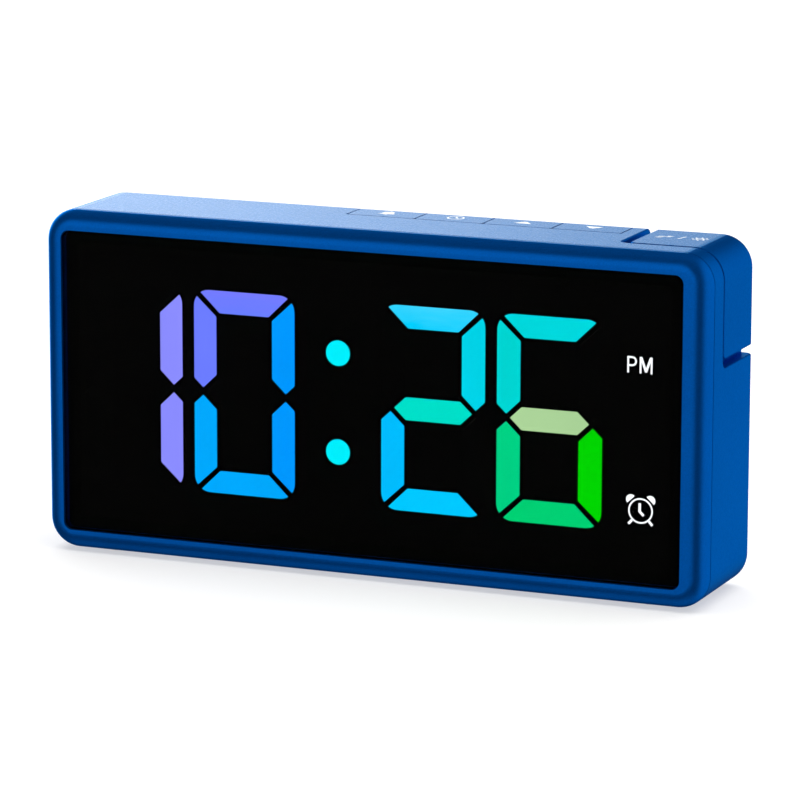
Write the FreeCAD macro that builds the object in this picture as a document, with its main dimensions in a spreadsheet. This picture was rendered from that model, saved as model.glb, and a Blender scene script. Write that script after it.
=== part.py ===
import FreeCAD, Part
import Sketcher
import math
import os

V = FreeCAD.Vector
Rot = FreeCAD.Rotation
Pla = FreeCAD.Placement

# Bedside LED alarm clock: a shallow upright box with a dark front window, four
# keys along the rear edge of its top, and one corner button that wraps over the
# top right corner. X is the width, Y the depth (front is -Y), Z up. The origin
# is under the middle of the clock, on the surface that its feet stand on.
doc = FreeCAD.newDocument("alarm_clock")
sheet = doc.addObject("Spreadsheet::Sheet", "dims")

CELLS = [
    # casing
    ("body_w", 135.0), ("body_ht", 66.5), ("body_dp", 26.0), ("corner_rad", 6.0),
    ("front_round", 3.0), ("rear_round", 1.5), ("wall", 2.0), ("back_wall", 2.2),
    ("foot_proud", 0.5), ("seam_front", -9.90), ("seam_rear", -9.66),
    # front window
    ("lens_x", -0.6), ("lens_w", 126.1), ("lens_ht", 58.7), ("lens_t", 1.8), ("lens_sunk", 0.4),
    ("lens_rad", 1.6), ("lens_gap", 0.1), ("ledge_front", -10.55), ("ledge_back", -9.0),
    ("window_w", 121.4), ("window_ht", 54.5), ("gasket_t", 0.25),
    ("lip_out", 2.15), ("lip_in", 3.25), ("lip_end", -7.4),
    # display
    ("film_w", 120.6), ("film_ht", 53.9), ("film_front", -10.70), ("film_t", 0.2),
    ("refl_w", 119.8), ("refl_ht", 50.0), ("refl_back", -4.0), ("board_t", 1.2),
    ("insert_t", 1.2), ("main_w", 127.4), ("disp_z", 33.63),
    ("post_x", 62.2), ("post_z_low", 15.0), ("post_z_high", 52.0), ("post_rad", 1.55),
    ("dot_x", -6.73), ("dot_dz", 9.52), ("dot_rad", 2.47), ("dot_mid", -0.03), ("sign_x", 54.07),
    # keys
    ("key_x", -11.65), ("key_pitch", 13.9), ("key_gap", 0.3), ("key_front", 4.9),
    ("key_slot_front", 4.6), ("key_t", 1.5), ("key_floor", 2.2), ("key_inner", 3.6),
    ("key_stem", 3.0), ("key_stem_y", 7.0), ("key_stem_end", 62.6), ("key_travel", 0.5),
    ("switch_sq", 6.0), ("switch_tall", 3.4), ("switch_top", 61.7), ("plunger_rad", 1.5),
    ("plunger_low", 60.3), ("plunger_bore_low", 59.6), ("plunger_bore_rad", 1.6),
    ("kboard_x", -12.65), ("kboard_w", 58.0), ("kboard_y", 1.0), ("kboard_dp", 9.4),
    # corner button
    ("cap_t", 1.35), ("cap_floor", 2.3), ("cap_inner", 3.6), ("cap_front", -4.0),
    ("cap_slot_front", -4.5), ("lip_soft", 0.3), ("cap_left", 48.7), ("cap_slot_left", 47.0),
    ("cap_low", 46.4), ("cap_slot_low", 44.7), ("cap_mid_y", 4.5), ("cap_stem", 4.0),
    # casing screws
    ("screw_x", 50.5), ("screw_z_low", 5.5), ("screw_z_high", 61.1), ("boss_rad", 3.0),
    ("boss_front", 0.5), ("well_rad", 2.0), ("well_bottom", 4.0), ("pass_rad", 1.15),
    ("fboss_rad", 2.1), ("fboss_end", 0.4), ("pilot_rad", 0.85), ("pilot_end", -7.0),
    ("head_rad", 1.8), ("head_t", 1.4), ("shank_rad", 1.0), ("shank_len", 9.0),
    # battery compartment
    ("cell_x", -30.0), ("cell_z", 34.0), ("door_rad", 13.0), ("door_t", 1.5),
    ("door_hole_rad", 13.25), ("cell_bore_rad", 11.2), ("cell_wall_rad", 14.0),
    ("cell_floor_in", 5.2), ("cell_floor_out", 4.0), ("cell_rad", 10.0), ("cell_t", 3.2),
    ("cell_low", 6.6), ("lug_rad", 12.2), ("lug_groove_rad", 12.45), ("lug_low", 9.95),
    ("plug_rad", 10.9),
    # speaker
    ("spk_x", 22.0), ("spk_z", 36.0), ("spk_rad", 10.0), ("spk_ring_rad", 11.6),
    ("grille_pitch", 3.0), ("grille_rad", 0.65),
    # power inlet
    ("usb_x", 40.0), ("usb_z", 12.0), ("usb_w", 8.94), ("usb_ht", 3.26), ("usb_wall", 0.3),
    ("usb_mouth", 12.6), ("usb_back", 5.3),
    # feet
    ("foot_rad", 4.0), ("foot_sunk", 0.6), ("foot_x", 55.0), ("foot_y_front", -4.6), ("foot_y_rear", 7.4),
]
D = {}
for i, (k, v) in enumerate(CELLS):
    sheet.set("A%d" % (i + 1), k)
    sheet.set("B%d" % (i + 1), repr(v))
    sheet.setAlias("B%d" % (i + 1), k)
    D[k] = v
doc.recompute()

TOP = "(dims.foot_proud + dims.body_ht)"
BACK = "(dims.body_dp / 2)"
FRONT = "(-dims.body_dp / 2)"
MIDZ = "(dims.foot_proud + dims.body_ht / 2)"


def num(e):
    """Value of an expression over the sheet's cells."""
    if isinstance(e, (int, float)):
        return float(e)
    env = {k: v for k, v in D.items()}
    return float(cell_value(e, env))


def cell_value(text, env):
    """Small arithmetic reader for + - * / and brackets over cell names."""
    import ast
    tree = ast.parse("(%s)" % text.replace("dims.", "").strip()).body[0].value

    def go(n):
        if isinstance(n, ast.BinOp):
            a, b = go(n.left), go(n.right)
            return {"Add": a + b, "Sub": a - b, "Mult": a * b, "Div": a / b if b else 0.0}[type(n.op).__name__]
        if isinstance(n, ast.UnaryOp):
            return -go(n.operand)
        if isinstance(n, ast.Name):
            return env[n.id]
        return float(n.value)

    return go(tree)


def bind(o, prop, e):
    if isinstance(e, (int, float)):
        o.setExpression(prop, repr(float(e)))
    else:
        o.setExpression(prop, e)


def place(o, x, y, z):
    bind(o, "Placement.Base.x", x)
    bind(o, "Placement.Base.y", y)
    bind(o, "Placement.Base.z", z)


def box(name, x0, y0, z0, x1, y1, z1):
    """Part box between two corners; each coordinate is a number or an expression."""
    o = doc.addObject("Part::Box", name)
    for p, a, b in (("Length", x0, x1), ("Width", y0, y1), ("Height", z0, z1)):
        bind(o, p, "(%s) - (%s)" % (b, a))
    place(o, x0, y0, z0)
    return o


def cyl(name, r, x, y, z, length, axis="y"):
    """Part cylinder from a point along +Y (or +Z, +X)."""
    o = doc.addObject("Part::Cylinder", name)
    bind(o, "Radius", r)
    bind(o, "Height", length)
    rot = {"y": Rot(V(1, 0, 0), -90), "z": Rot(), "x": Rot(V(0, 1, 0), 90)}[axis]
    o.Placement = Pla(V(0, 0, 0), rot)
    place(o, x, y, z)
    return o


def cyl_y(name, r, x, z, y0, y1):
    return cyl(name, r, x, y0, z, "(%s) - (%s)" % (y1, y0), "y")


def fuse(name, parts):
    o = doc.addObject("Part::MultiFuse", name)
    o.Shapes = parts
    return o


def cut(name, base, tools):
    o = doc.addObject("Part::Cut", name)
    o.Base = base
    o.Tool = tools if not isinstance(tools, list) else (tools[0] if len(tools) == 1 else fuse(name + "_tools", tools))
    return o


def common(name, parts):
    o = doc.addObject("Part::MultiCommon", name)
    o.Shapes = parts
    return o


def inset_of(q):
    """Depth of a point under the casing's outline, seen along Y."""
    u, w = abs(q.x), abs(q.z - num(MIDZ))
    a, b, r = num("dims.body_w / 2"), num("dims.body_ht / 2"), num("dims.corner_rad")
    if u > a - r and w > b - r:
        return r - math.hypot(u - a + r, w - b + r)
    return min(a - u, b - w)


def soften(name, base, left, front, low, r):
    """Small rounding along the outer edge that a corner zone leaves on the casing."""
    doc.recompute()
    x, y, z, back = num(left), num(front), num(low), num("%s - dims.rear_round" % BACK)

    def want(e):
        pts = e.discretize(5)
        if any(abs(inset_of(q)) > 1e-4 or q.y > back + 1e-4 or q.y < y - 1e-4 or q.x < x - 1e-4 or q.z < z - 1e-4 for q in pts):
            return False
        mid = pts[2]
        return not (along(e, "y") and x + 1 < mid.x and z + 1 < mid.z)

    o = doc.addObject("Part::Fillet", name)
    o.Base = base
    o.Edges = [(i + 1, r, r) for i, e in enumerate(base.Shape.Edges) if want(e)]
    doc.recompute()
    assert o.Edges and o.Shape.isValid() and abs(o.Shape.Volume - base.Shape.Volume) > 0.2, name
    return o


def plane_of(body, role):
    return [f for f in body.Origin.OriginFeatures if f.Role == role][0]


def rect_sketch(body, name, role, u0, v0, u1, v1, offset):
    """Rectangle sketch on an origin plane of the body, bound to the sheet.
    offset is the plane's distance along its own normal."""
    sk = body.newObject("Sketcher::SketchObject", name)
    sk.AttachmentSupport = [(plane_of(body, role), "")]
    sk.MapMode = "FlatFace"
    bind(sk, "AttachmentOffset.Base.z", offset)
    a, b, c, d = num(u0), num(v0), num(u1), num(v1)
    pts = [V(a, b, 0), V(c, b, 0), V(c, d, 0), V(a, d, 0)]
    for i in range(4):
        sk.addGeometry(Part.LineSegment(pts[i], pts[(i + 1) % 4]), False)
    for i in range(4):
        sk.addConstraint(Sketcher.Constraint("Coincident", i, 2, (i + 1) % 4, 1))
    sk.addConstraint(Sketcher.Constraint("Horizontal", 0))
    sk.addConstraint(Sketcher.Constraint("Horizontal", 2))
    sk.addConstraint(Sketcher.Constraint("Vertical", 1))
    sk.addConstraint(Sketcher.Constraint("Vertical", 3))
    for key, con, e in (
        ("width", Sketcher.Constraint("DistanceX", 0, 1, 0, 2, c - a), "(%s) - (%s)" % (u1, u0)),
        ("tall", Sketcher.Constraint("DistanceY", 1, 1, 1, 2, d - b), "(%s) - (%s)" % (v1, v0)),
        ("left", Sketcher.Constraint("DistanceX", -1, 1, 0, 1, a), u0),
        ("low", Sketcher.Constraint("DistanceY", -1, 1, 0, 1, b), v0),
    ):
        i = sk.addConstraint(con)
        sk.renameConstraint(i, key)
        sk.setExpression("Constraints." + key, e if isinstance(e, str) else repr(float(e)))
    return sk


def edges_where(shape, test):
    return ["Edge%d" % (i + 1) for i, e in enumerate(shape.Edges) if test(e)]


def along(e, axis):
    if not isinstance(e.Curve, Part.Line):
        return False
    d = e.Vertexes[-1].Point - e.Vertexes[0].Point
    return abs(getattr(d, axis)) > 0.999 * d.Length


def slab(name, x0, z0, x1, z1, y0, y1, rad=None, front=None, rear=None):
    """Upright slab as a PartDesign body: a rectangle on the XZ plane padded along Y,
    with its four corners rounded, then its front or rear rim rounded."""
    body = doc.addObject("PartDesign::Body", name)
    sk = rect_sketch(body, name + "_sketch", "XZ_Plane", x0, z0, x1, z1, "-(%s)" % y0)
    pad = body.newObject("PartDesign::Pad", name + "_pad")
    pad.Profile = sk
    bind(pad, "Length", "(%s) - (%s)" % (y1, y0))
    pad.Reversed = True
    doc.recompute()
    last = pad
    if rad is not None:
        f = body.newObject("PartDesign::Fillet", name + "_corners")
        f.Base = (last, edges_where(last.Shape, lambda e: along(e, "y")))
        bind(f, "Radius", rad)
        doc.recompute()
        last = f
    for rim, y in ((front, num(y0)), (rear, num(y1))):
        if rim is not None:
            f = body.newObject("PartDesign::Fillet", name + ("_front" if rim is front else "_rear"))
            f.Base = (last, edges_where(last.Shape, lambda e, y=y: all(abs(p.y - y) < 1e-6 for p in e.discretize(5))))
            bind(f, "Radius", rim)
            doc.recompute()
            last = f
    body.Tip = last
    return body


def ring_slab(name, inset, y0, y1, **kw):
    """Slab that follows the casing's outline at a constant inset."""
    return slab(
        name,
        "-dims.body_w / 2 + %s" % inset, "dims.foot_proud + %s" % inset,
        "dims.body_w / 2 - %s" % inset, "%s - %s" % (TOP, inset),
        y0, y1, rad="dims.corner_rad - %s" % inset, **kw)


def prism(name, pts, y0, y1):
    """Straight prism of a polygon in XZ, from y0 to y1."""
    w = Part.makePolygon([V(x, y0, z) for x, z in pts] + [V(pts[0][0], y0, pts[0][1])])
    return Part.Face(w).extrude(V(0, y1 - y0, 0))


def feature(name, shape):
    o = doc.addObject("Part::Feature", name)
    o.Shape = shape
    o.Placement = Pla()
    return o


def tube(name, pts, rad):
    """Wire run with straight legs joined by tangent arcs, as a round tube."""
    edges, prev = [], V(*pts[0])
    for i in range(1, len(pts) - 1):
        a, b, c = V(*pts[i - 1]), V(*pts[i]), V(*pts[i + 1])
        d1, d2 = (b - a).normalize(), (c - b).normalize()
        turn = d1.getAngle(d2)
        leg = 0.45 * min((b - a).Length, (c - b).Length)
        r = leg / math.tan(turn / 2)
        s, e = b - d1 * leg, b + d2 * leg
        n = (d2 - d1).normalize()
        mid = b + n * (r / math.cos(turn / 2) - r)
        edges.append(Part.makeLine(prev, s))
        edges.append(Part.Arc(s, mid, e).toShape())
        prev = e
    edges.append(Part.makeLine(prev, V(*pts[-1])))
    path = Part.Wire(edges)
    d0 = (V(*pts[1]) - V(*pts[0])).normalize()
    prof = Part.Wire(Part.makeCircle(rad, V(*pts[0]), d0))
    return path.makePipeShell([prof], True, False)


# ---------------------------------------------------------------- casing
outer_front = ring_slab("outer_front", "0", FRONT, "dims.seam_front", front="dims.front_round")
flange = ring_slab("flange", "dims.lip_out", "dims.seam_front", "dims.ledge_back")
lip_a = ring_slab("lip_a", "dims.lip_out", "dims.ledge_back", "dims.lip_end")
lip_b = ring_slab("lip_b", "dims.lip_in", "dims.ledge_back - 0.2", "dims.lip_end + 1")
lip = cut("lip", lip_a, [lip_b])
lens_pocket = slab(
    "lens_pocket", "dims.lens_x - dims.lens_w / 2 - dims.lens_gap", "%s - dims.lens_ht / 2 - dims.lens_gap" % MIDZ,
    "dims.lens_x + dims.lens_w / 2 + dims.lens_gap", "%s + dims.lens_ht / 2 + dims.lens_gap" % MIDZ,
    "%s - 1" % FRONT, "dims.ledge_front", rad="dims.lens_rad + dims.lens_gap")
window = slab(
    "window", "dims.lens_x - dims.window_w / 2", "%s - dims.window_ht / 2" % MIDZ, "dims.lens_x + dims.window_w / 2",
    "%s + dims.window_ht / 2" % MIDZ, "%s - 1" % FRONT, "dims.ledge_back + 1", rad=1.0)
bezel_parts = [lip]
bezel_holes = []
n = 0
for sx in (-1, 1):
    for zz in ("dims.screw_z_low", "dims.screw_z_high"):
        n += 1
        x = "%d * dims.screw_x" % sx
        bezel_parts.append(cyl_y("fboss_%d" % n, "dims.fboss_rad", x, zz, "dims.ledge_back - 0.4", "dims.fboss_end"))
        bezel_holes.append(cyl_y("pilot_%d" % n, "dims.pilot_rad", x, zz, "dims.pilot_end", "dims.fboss_end + 1"))
    for zz in ("dims.post_z_low", "dims.post_z_high"):
        n += 1
        x = "%d * dims.post_x" % sx
        bezel_parts.append(cyl_y("dpost_%d" % n, "dims.post_rad", x, zz, "dims.ledge_back - 0.4", "dims.refl_back"))
        bezel_holes.append(cyl_y("dpilot_%d" % n, 0.65, x, zz, "-8.6", "dims.refl_back + 1"))
frame_solid = cut("frame_solid", fuse("frame_block", [outer_front, flange]), [lens_pocket, window])
front_bezel = cut("front_bezel", fuse("frame_with_posts", [frame_solid] + bezel_parts), bezel_holes)

outer_rear = ring_slab("outer_rear", "0", "dims.seam_rear", BACK, rear="dims.rear_round")
hollow = ring_slab("hollow", "dims.wall", "dims.seam_rear - 1", "%s - dims.back_wall" % BACK)
shell = cut("shell", outer_rear, [hollow])

# corner button seat: a step all round the inside of the corner
outer_full = ring_slab("outer_full", "0", "dims.seam_rear", BACK, rear="dims.rear_round")
seat_zone = box("seat_zone", "dims.cap_slot_left - 1.4", "dims.cap_slot_front - 1.35", "dims.cap_slot_low - 1.4",
                "dims.body_w / 2 + 1", "%s + 1" % BACK, "%s + 1" % TOP)
seat_core = ring_slab("seat_core", "dims.cap_inner", "dims.seam_rear - 1", "%s - dims.back_wall" % BACK)
seat_block = cut("seat_block", common("seat_common", [outer_full, seat_zone]), [seat_core])


def corner_zone(name, left, front, low, r):
    """Box over the top right corner, open to the rear, top and right, with its two front end corners rounded."""
    body = doc.addObject("PartDesign::Body", name)
    sk = rect_sketch(body, name + "_sketch", "XZ_Plane", left, low, "dims.body_w / 2 + 4", "%s + 4" % TOP, "-(%s)" % front)
    pad = body.newObject("PartDesign::Pad", name + "_pad")
    pad.Profile = sk
    bind(pad, "Length", "%s + 4 - (%s)" % (BACK, front))
    pad.Reversed = True
    doc.recompute()
    f = body.newObject("PartDesign::Fillet", name + "_ends")
    y, x, z = num(front), num(left), num(low)

    def want(e):
        p = e.CenterOfMass
        return abs(p.y - y) < 1e-6 and ((along(e, "x") and abs(p.z - z) < 1e-6) or (along(e, "z") and abs(p.x - x) < 1e-6))

    f.Base = (pad, edges_where(pad.Shape, want))
    bind(f, "Radius", r)
    doc.recompute()
    body.Tip = f
    return body


seat_cut_zone = corner_zone("seat_cut_zone", "dims.cap_slot_left", "dims.cap_slot_front", "dims.cap_slot_low", 1.8)
seat_floor = ring_slab("seat_floor", "dims.cap_floor", "dims.seam_rear - 1", "%s + 5" % BACK)
seat_cut = cut("seat_cut", seat_cut_zone, [seat_floor])

# key seat
key_block = box("key_block", "dims.key_x - 1.6", "dims.key_slot_front - 1.4", "%s - dims.key_inner" % TOP,
                "dims.key_x + 4 * dims.key_pitch + 1.6", "%s - 1" % BACK, "%s - 1" % TOP)
key_slot = box("key_slot", "dims.key_x - dims.key_gap / 2", "dims.key_slot_front", "%s - dims.key_floor" % TOP,
               "dims.key_x + 4 * dims.key_pitch + dims.key_gap / 2", "%s + 1" % BACK, "%s + 1" % TOP)
adds = [shell, seat_block, key_block]
cuts = [seat_cut, key_slot]
for i in range(4):
    cx = "(dims.key_x + %s * dims.key_pitch)" % (i + 0.5)
    cuts.append(box("stem_hole_%d" % (i + 1), cx + " - 1.8", "dims.key_stem_y - 1.8", 62, cx + " + 1.8", "dims.key_stem_y + 1.8", 66))
for i, k in enumerate((1, 3)):
    cx = "(dims.key_x + %d * dims.key_pitch)" % k
    adds.append(cyl("kboss_%d" % i, 2.2, cx, "dims.key_stem_y", "dims.switch_top - dims.switch_tall", "5.4", "z"))
    cuts.append(cyl("kpilot_%d" % i, 0.75, cx, "dims.key_stem_y", "dims.switch_top - dims.switch_tall - 1", "5.2", "z"))

# stem window through the corner, square to the diagonal
diag = Rot(V(0, 1, 0), 45)
CX, CZ = num("dims.body_w / 2 - dims.corner_rad"), num("%s - dims.corner_rad" % TOP)
MY = D["cap_mid_y"]


def diag_box(name, across, y0, y1, r0, r1):
    """Box square to the corner's diagonal, from r0 to r1 out from the corner's centre."""
    o = doc.addObject("Part::Box", name)
    bind(o, "Length", across)
    bind(o, "Width", "(%s) - (%s)" % (y1, y0))
    bind(o, "Height", "(%s) - (%s)" % (r1, r0))
    local = V(-num(across) / 2, num(y0), num(r0))
    o.Placement = Pla(V(CX, 0, CZ) + diag.multVec(local), diag)
    return o


def diag_cyl(name, rad, r0, r1):
    o = doc.addObject("Part::Cylinder", name)
    bind(o, "Radius", rad)
    bind(o, "Height", "(%s) - (%s)" % (r1, r0))
    o.Placement = Pla(V(CX, 0, CZ) + diag.multVec(V(0, MY, num(r0))), diag)
    return o


cuts.append(diag_box("stem_window", "dims.cap_stem + 1.0", "dims.cap_mid_y - dims.cap_stem / 2 - 0.4",
                     "dims.cap_mid_y + dims.cap_stem / 2 + 0.4", 0.6, 4.4))
adds.append(diag_box("snooze_rib", 10, 0, "%s - 1" % BACK, -5.6, -4.1))

# screw bosses and wells
n = 0
for sx in (-1, 1):
    for zz in ("dims.screw_z_low", "dims.screw_z_high"):
        n += 1
        x = "%d * dims.screw_x" % sx
        adds.append(cyl_y("rboss_%d" % n, "dims.boss_rad", x, zz, "dims.boss_front", "%s - 1" % BACK))
        cuts.append(cyl_y("well_%d" % n, "dims.well_rad", x, zz, "dims.well_bottom", "%s + 1" % BACK))
        cuts.append(cyl_y("pass_%d" % n, "dims.pass_rad", x, zz, "dims.boss_front - 1", "dims.well_bottom + 1"))

# battery compartment: round cup with a bayonet groove behind the door's ledge
cellx, cellz = "dims.cell_x", "dims.cell_z"
adds.append(cyl_y("cell_cup", "dims.cell_wall_rad", cellx, cellz, "dims.cell_floor_out", "%s - 1" % BACK))
cuts.append(cyl_y("cell_bore", "dims.cell_bore_rad", cellx, cellz, "dims.cell_floor_in", "%s + 1" % BACK))
cuts.append(cyl_y("lug_groove", "dims.lug_groove_rad", cellx, cellz, "dims.lug_low - 0.25", "%s - dims.back_wall" % BACK))
cuts.append(cyl_y("door_seat", "dims.door_hole_rad", cellx, cellz, "%s - dims.door_t - 0.05" % BACK, "%s + 1" % BACK))


# dimples that tell locked from open, beside the door and on it
MARK_R, MARK_D = 15.4, 0.3
cuts.append(cyl_y("mark_locked", 0.6, "dims.cell_x", "dims.cell_z + %.4f" % MARK_R, "%s - %s" % (BACK, MARK_D), "%s + 1" % BACK))
cuts.append(cyl_y("mark_open", 0.6, "dims.cell_x - %.4f" % (MARK_R * math.sin(math.pi / 4)),
                  "dims.cell_z + %.4f" % (MARK_R * math.cos(math.pi / 4)), "%s - %s" % (BACK, MARK_D), "%s + 1" % BACK))


def sector(r, y0, y1, mid_deg, half_deg):
    a, b = math.radians(mid_deg - half_deg), math.radians(mid_deg + half_deg)
    c = V(D["cell_x"], y0, D["cell_z"])
    p = lambda t: c + V(r * math.cos(t), 0, r * math.sin(t))
    w = Part.Wire([Part.makeLine(c, p(a)), Part.Arc(p(a), p((a + b) / 2), p(b)).toShape(), Part.makeLine(p(b), c)])
    return Part.Face(w).extrude(V(0, y1 - y0, 0))


inlets = sector(D["lug_groove_rad"], 10.0, 12.0, 45, 14).fuse(sector(D["lug_groove_rad"], 10.0, 12.0, 225, 14))
cuts.append(feature("lug_inlets", inlets))

# speaker ring and grille
adds.append(cut("spk_ring", cyl_y("spk_ring_a", "dims.spk_ring_rad", "dims.spk_x", "dims.spk_z", 7.8, "%s - 1" % BACK),
                [cyl_y("spk_ring_b", "dims.spk_rad + 0.3", "dims.spk_x", "dims.spk_z", 6.8, "%s - dims.back_wall" % BACK)]))
for ring in range(3):
    for k in range(max(1, 6 * ring)):
        side, step = (k // ring, k % ring) if ring else (0, 0)
        a, b = math.radians(60 * side), math.radians(60 * side + 120)
        u = ring * math.cos(a) + step * math.cos(b)
        w = ring * math.sin(a) + step * math.sin(b)
        cuts.append(cyl_y("grille_%d_%d" % (ring, k), "dims.grille_rad", "dims.spk_x + %.5f * dims.grille_pitch" % u,
                          "dims.spk_z + %.5f * dims.grille_pitch" % w, "9", "%s + 1" % BACK))

# power inlet opening and its board posts
cuts.append(slab("usb_opening", "dims.usb_x - dims.usb_w / 2 - 0.25", "dims.usb_z - dims.usb_ht / 2 - 0.25",
                 "dims.usb_x + dims.usb_w / 2 + 0.25", "dims.usb_z + dims.usb_ht / 2 + 0.25", "9", "%s + 1" % BACK, rad=1.85))
for i, x in enumerate((32.0, 44.0)):
    adds.append(cyl("ppost_%d" % i, 2.0, x, 3.2, 2.0, "7.1", "z"))
    cuts.append(cyl("ppilot_%d" % i, 0.75, x, 3.2, 4.0, "6", "z"))

# feet pockets
n = 0
feet = []
for sx in (-1, 1):
    for yy in ("dims.foot_y_front", "dims.foot_y_rear"):
        n += 1
        cuts.append(cyl("foot_pocket_%d" % n, "dims.foot_rad + 0.1", "%d * dims.foot_x" % sx, yy, "-1",
                        "1 + dims.foot_proud + dims.foot_sunk", "z"))
        feet.append(cyl("foot_%d" % n, "dims.foot_rad", "%d * dims.foot_x" % sx, yy, "0", "dims.foot_proud + dims.foot_sunk", "z"))
housing_cut = cut("housing_cut", fuse("housing_solid", adds), cuts)
rear_housing = soften("rear_housing", housing_cut, "dims.cap_slot_left", "dims.cap_slot_front", "dims.cap_slot_low", D["lip_soft"])
rubber_feet = fuse("rubber_feet", feet)

# ---------------------------------------------------------------- front window
display_lens = slab("display_lens", "dims.lens_x - dims.lens_w / 2", "%s - dims.lens_ht / 2" % MIDZ, "dims.lens_x + dims.lens_w / 2",
                    "%s + dims.lens_ht / 2" % MIDZ, "%s + dims.lens_sunk" % FRONT,
                    "%s + dims.lens_sunk + dims.lens_t" % FRONT, rad="dims.lens_rad", front=0.2)
gasket_a = slab("gasket_a", "dims.lens_x - dims.lens_w / 2 + 0.1", "%s - dims.lens_ht / 2 + 0.1" % MIDZ, "dims.lens_x + dims.lens_w / 2 - 0.1",
                "%s + dims.lens_ht / 2 - 0.1" % MIDZ, "dims.ledge_front - dims.gasket_t", "dims.ledge_front", rad=1.5)
gasket_b = slab("gasket_b", "dims.lens_x - dims.film_w / 2 - 0.02", "%s - dims.film_ht / 2 - 0.02" % MIDZ, "dims.lens_x + dims.film_w / 2 + 0.02",
                "%s + dims.film_ht / 2 + 0.02" % MIDZ, "dims.ledge_front - 1", "dims.ledge_front + 1", rad=0.8)
lens_gasket = cut("lens_gasket", gasket_a, [gasket_b])

# Seven-segment figure, half width 10.47 and half height 19.7, upright, with
# mitred joints and rounded outer corners.
def corner_arc(a0, a1, steps=6):
    """Points on the figure's outer corner, a 3.18 mm arc."""
    out = []
    for k in range(steps + 1):
        t = math.radians(a0 + (a1 - a0) * k / steps)
        out.append((-7.29 + 3.18 * math.cos(t), 16.52 + 3.18 * math.sin(t)))
    return out


CORNER = corner_arc(144, 180)
ROUND = corner_arc(124, 90)


def segment_shapes():
    a = ROUND + [(-x, z) for x, z in reversed(ROUND)] + [(5.08, 15.33), (-5.08, 15.33)]
    f = CORNER + [(-10.47, 2.45), (-8.60, 0.70), (-5.79, 3.38), (-5.79, 14.65)]
    g = [(-7.86, 0.0), (-5.52, 2.20), (5.52, 2.20), (7.86, 0.0), (5.52, -2.20), (-5.52, -2.20)]
    mx = lambda s: [(-x, z) for x, z in s]
    mz = lambda s: [(x, -z) for x, z in s]
    return {"a": a, "f": f, "b": mx(f), "g": g, "e": mz(f), "c": mx(mz(f)), "d": mz(a)}


SEG = segment_shapes()
DIGITS = {"hour_tens": -49.55, "hour_units": -26.14, "minute_tens": 12.61, "minute_units": 35.91}
MID = D["disp_z"] + D["dot_mid"]
F0, F1 = D["film_front"], D["film_front"] + D["film_t"]


def middle(pts):
    """Middle of the rectangle that the points fill."""
    xs, zs = [p[0] for p in pts], [p[1] for p in pts]
    return (min(xs) + max(xs)) / 2, (min(zs) + max(zs)) / 2


def seg_pts(cx, name, k=1.0):
    s = SEG[name]
    mx_, mz_ = middle(s)
    return [(cx + mx_ + (x - mx_) * k, MID + mz_ + (z - mz_) * k) for x, z in s]


segment_nodes = {}
cavities, openings, chips = [], [], []
for digit, cx in DIGITS.items():
    solids = []
    for s in "abcdefg":
        solids.append(prism(s, seg_pts(cx, s, 0.992), F0, F0 + D["insert_t"]))
        cavities.append(prism(s, seg_pts(cx, s), F1 - 0.5, D["refl_back"] + 1))
        openings.append(prism(s, seg_pts(cx, s), F0 - 1, F1 + 1))
        mx_, mz_ = middle(seg_pts(cx, s))
        chips.append(Part.makeBox(1.6, 0.6, 1.6, V(mx_ - 0.8, D["refl_back"] - 0.6, mz_ - 0.8)))
    segment_nodes[digit + "_segments"] = feature(digit + "_segments", Part.makeCompound(solids))


def disc_y(r, x, z, y0, y1):
    return Part.makeCylinder(r, y1 - y0, V(x, y0, z), V(0, 1, 0))


dots = []
for s in (-1, 1):
    z = MID + s * D["dot_dz"]
    dots.append(disc_y(D["dot_rad"] - 0.03, D["dot_x"], z, F0, F0 + D["insert_t"]))
    cavities.append(disc_y(D["dot_rad"], D["dot_x"], z, F1 - 0.5, D["refl_back"] + 1))
    openings.append(disc_y(D["dot_rad"], D["dot_x"], z, F0 - 1, F1 + 1))
    chips.append(Part.makeBox(1.6, 0.6, 1.6, V(D["dot_x"] - 0.8, D["refl_back"] - 0.6, z - 0.8)))
colon_dots = feature("colon_dots", Part.makeCompound(dots))

# afternoon mark: plain letters 3.1 mm tall
T, B = D["disp_z"] + 13.50, D["disp_z"] + 10.40


def letter_p(x, y0, y1):
    stem = prism("p", [(x, B), (x + 0.36, B), (x + 0.36, T), (x, T)], y0, y1)
    r = 0.93
    cz = T - r
    bowl = disc_y(r, x + 0.95, cz, y0, y1).fuse(prism("p", [(x + 0.2, cz - r), (x + 0.95, cz - r), (x + 0.95, T), (x + 0.2, T)], y0, y1))
    hole = disc_y(r - 0.35, x + 0.95, cz, y0 - 1, y1 + 1).fuse(
        prism("p", [(x + 0.36, cz - r + 0.35), (x + 0.95, cz - r + 0.35), (x + 0.95, T - 0.35), (x + 0.36, T - 0.35)], y0 - 1, y1 + 1))
    return bowl.cut(hole).fuse(stem).removeSplitter()


def letter_m(x, y0, y1):
    w, t = 2.5, 0.36
    m = x + w / 2
    pts = [(x, B), (x + t, B), (x + t, T - 0.95), (m - 0.2, B + 0.25), (m + 0.2, B + 0.25), (x + w - t, T - 0.95),
           (x + w - t, B), (x + w, B), (x + w, T), (x + w - 0.5, T), (m, B + 1.05), (x + 0.5, T), (x, T)]
    return prism("m", pts, y0, y1)


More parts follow.
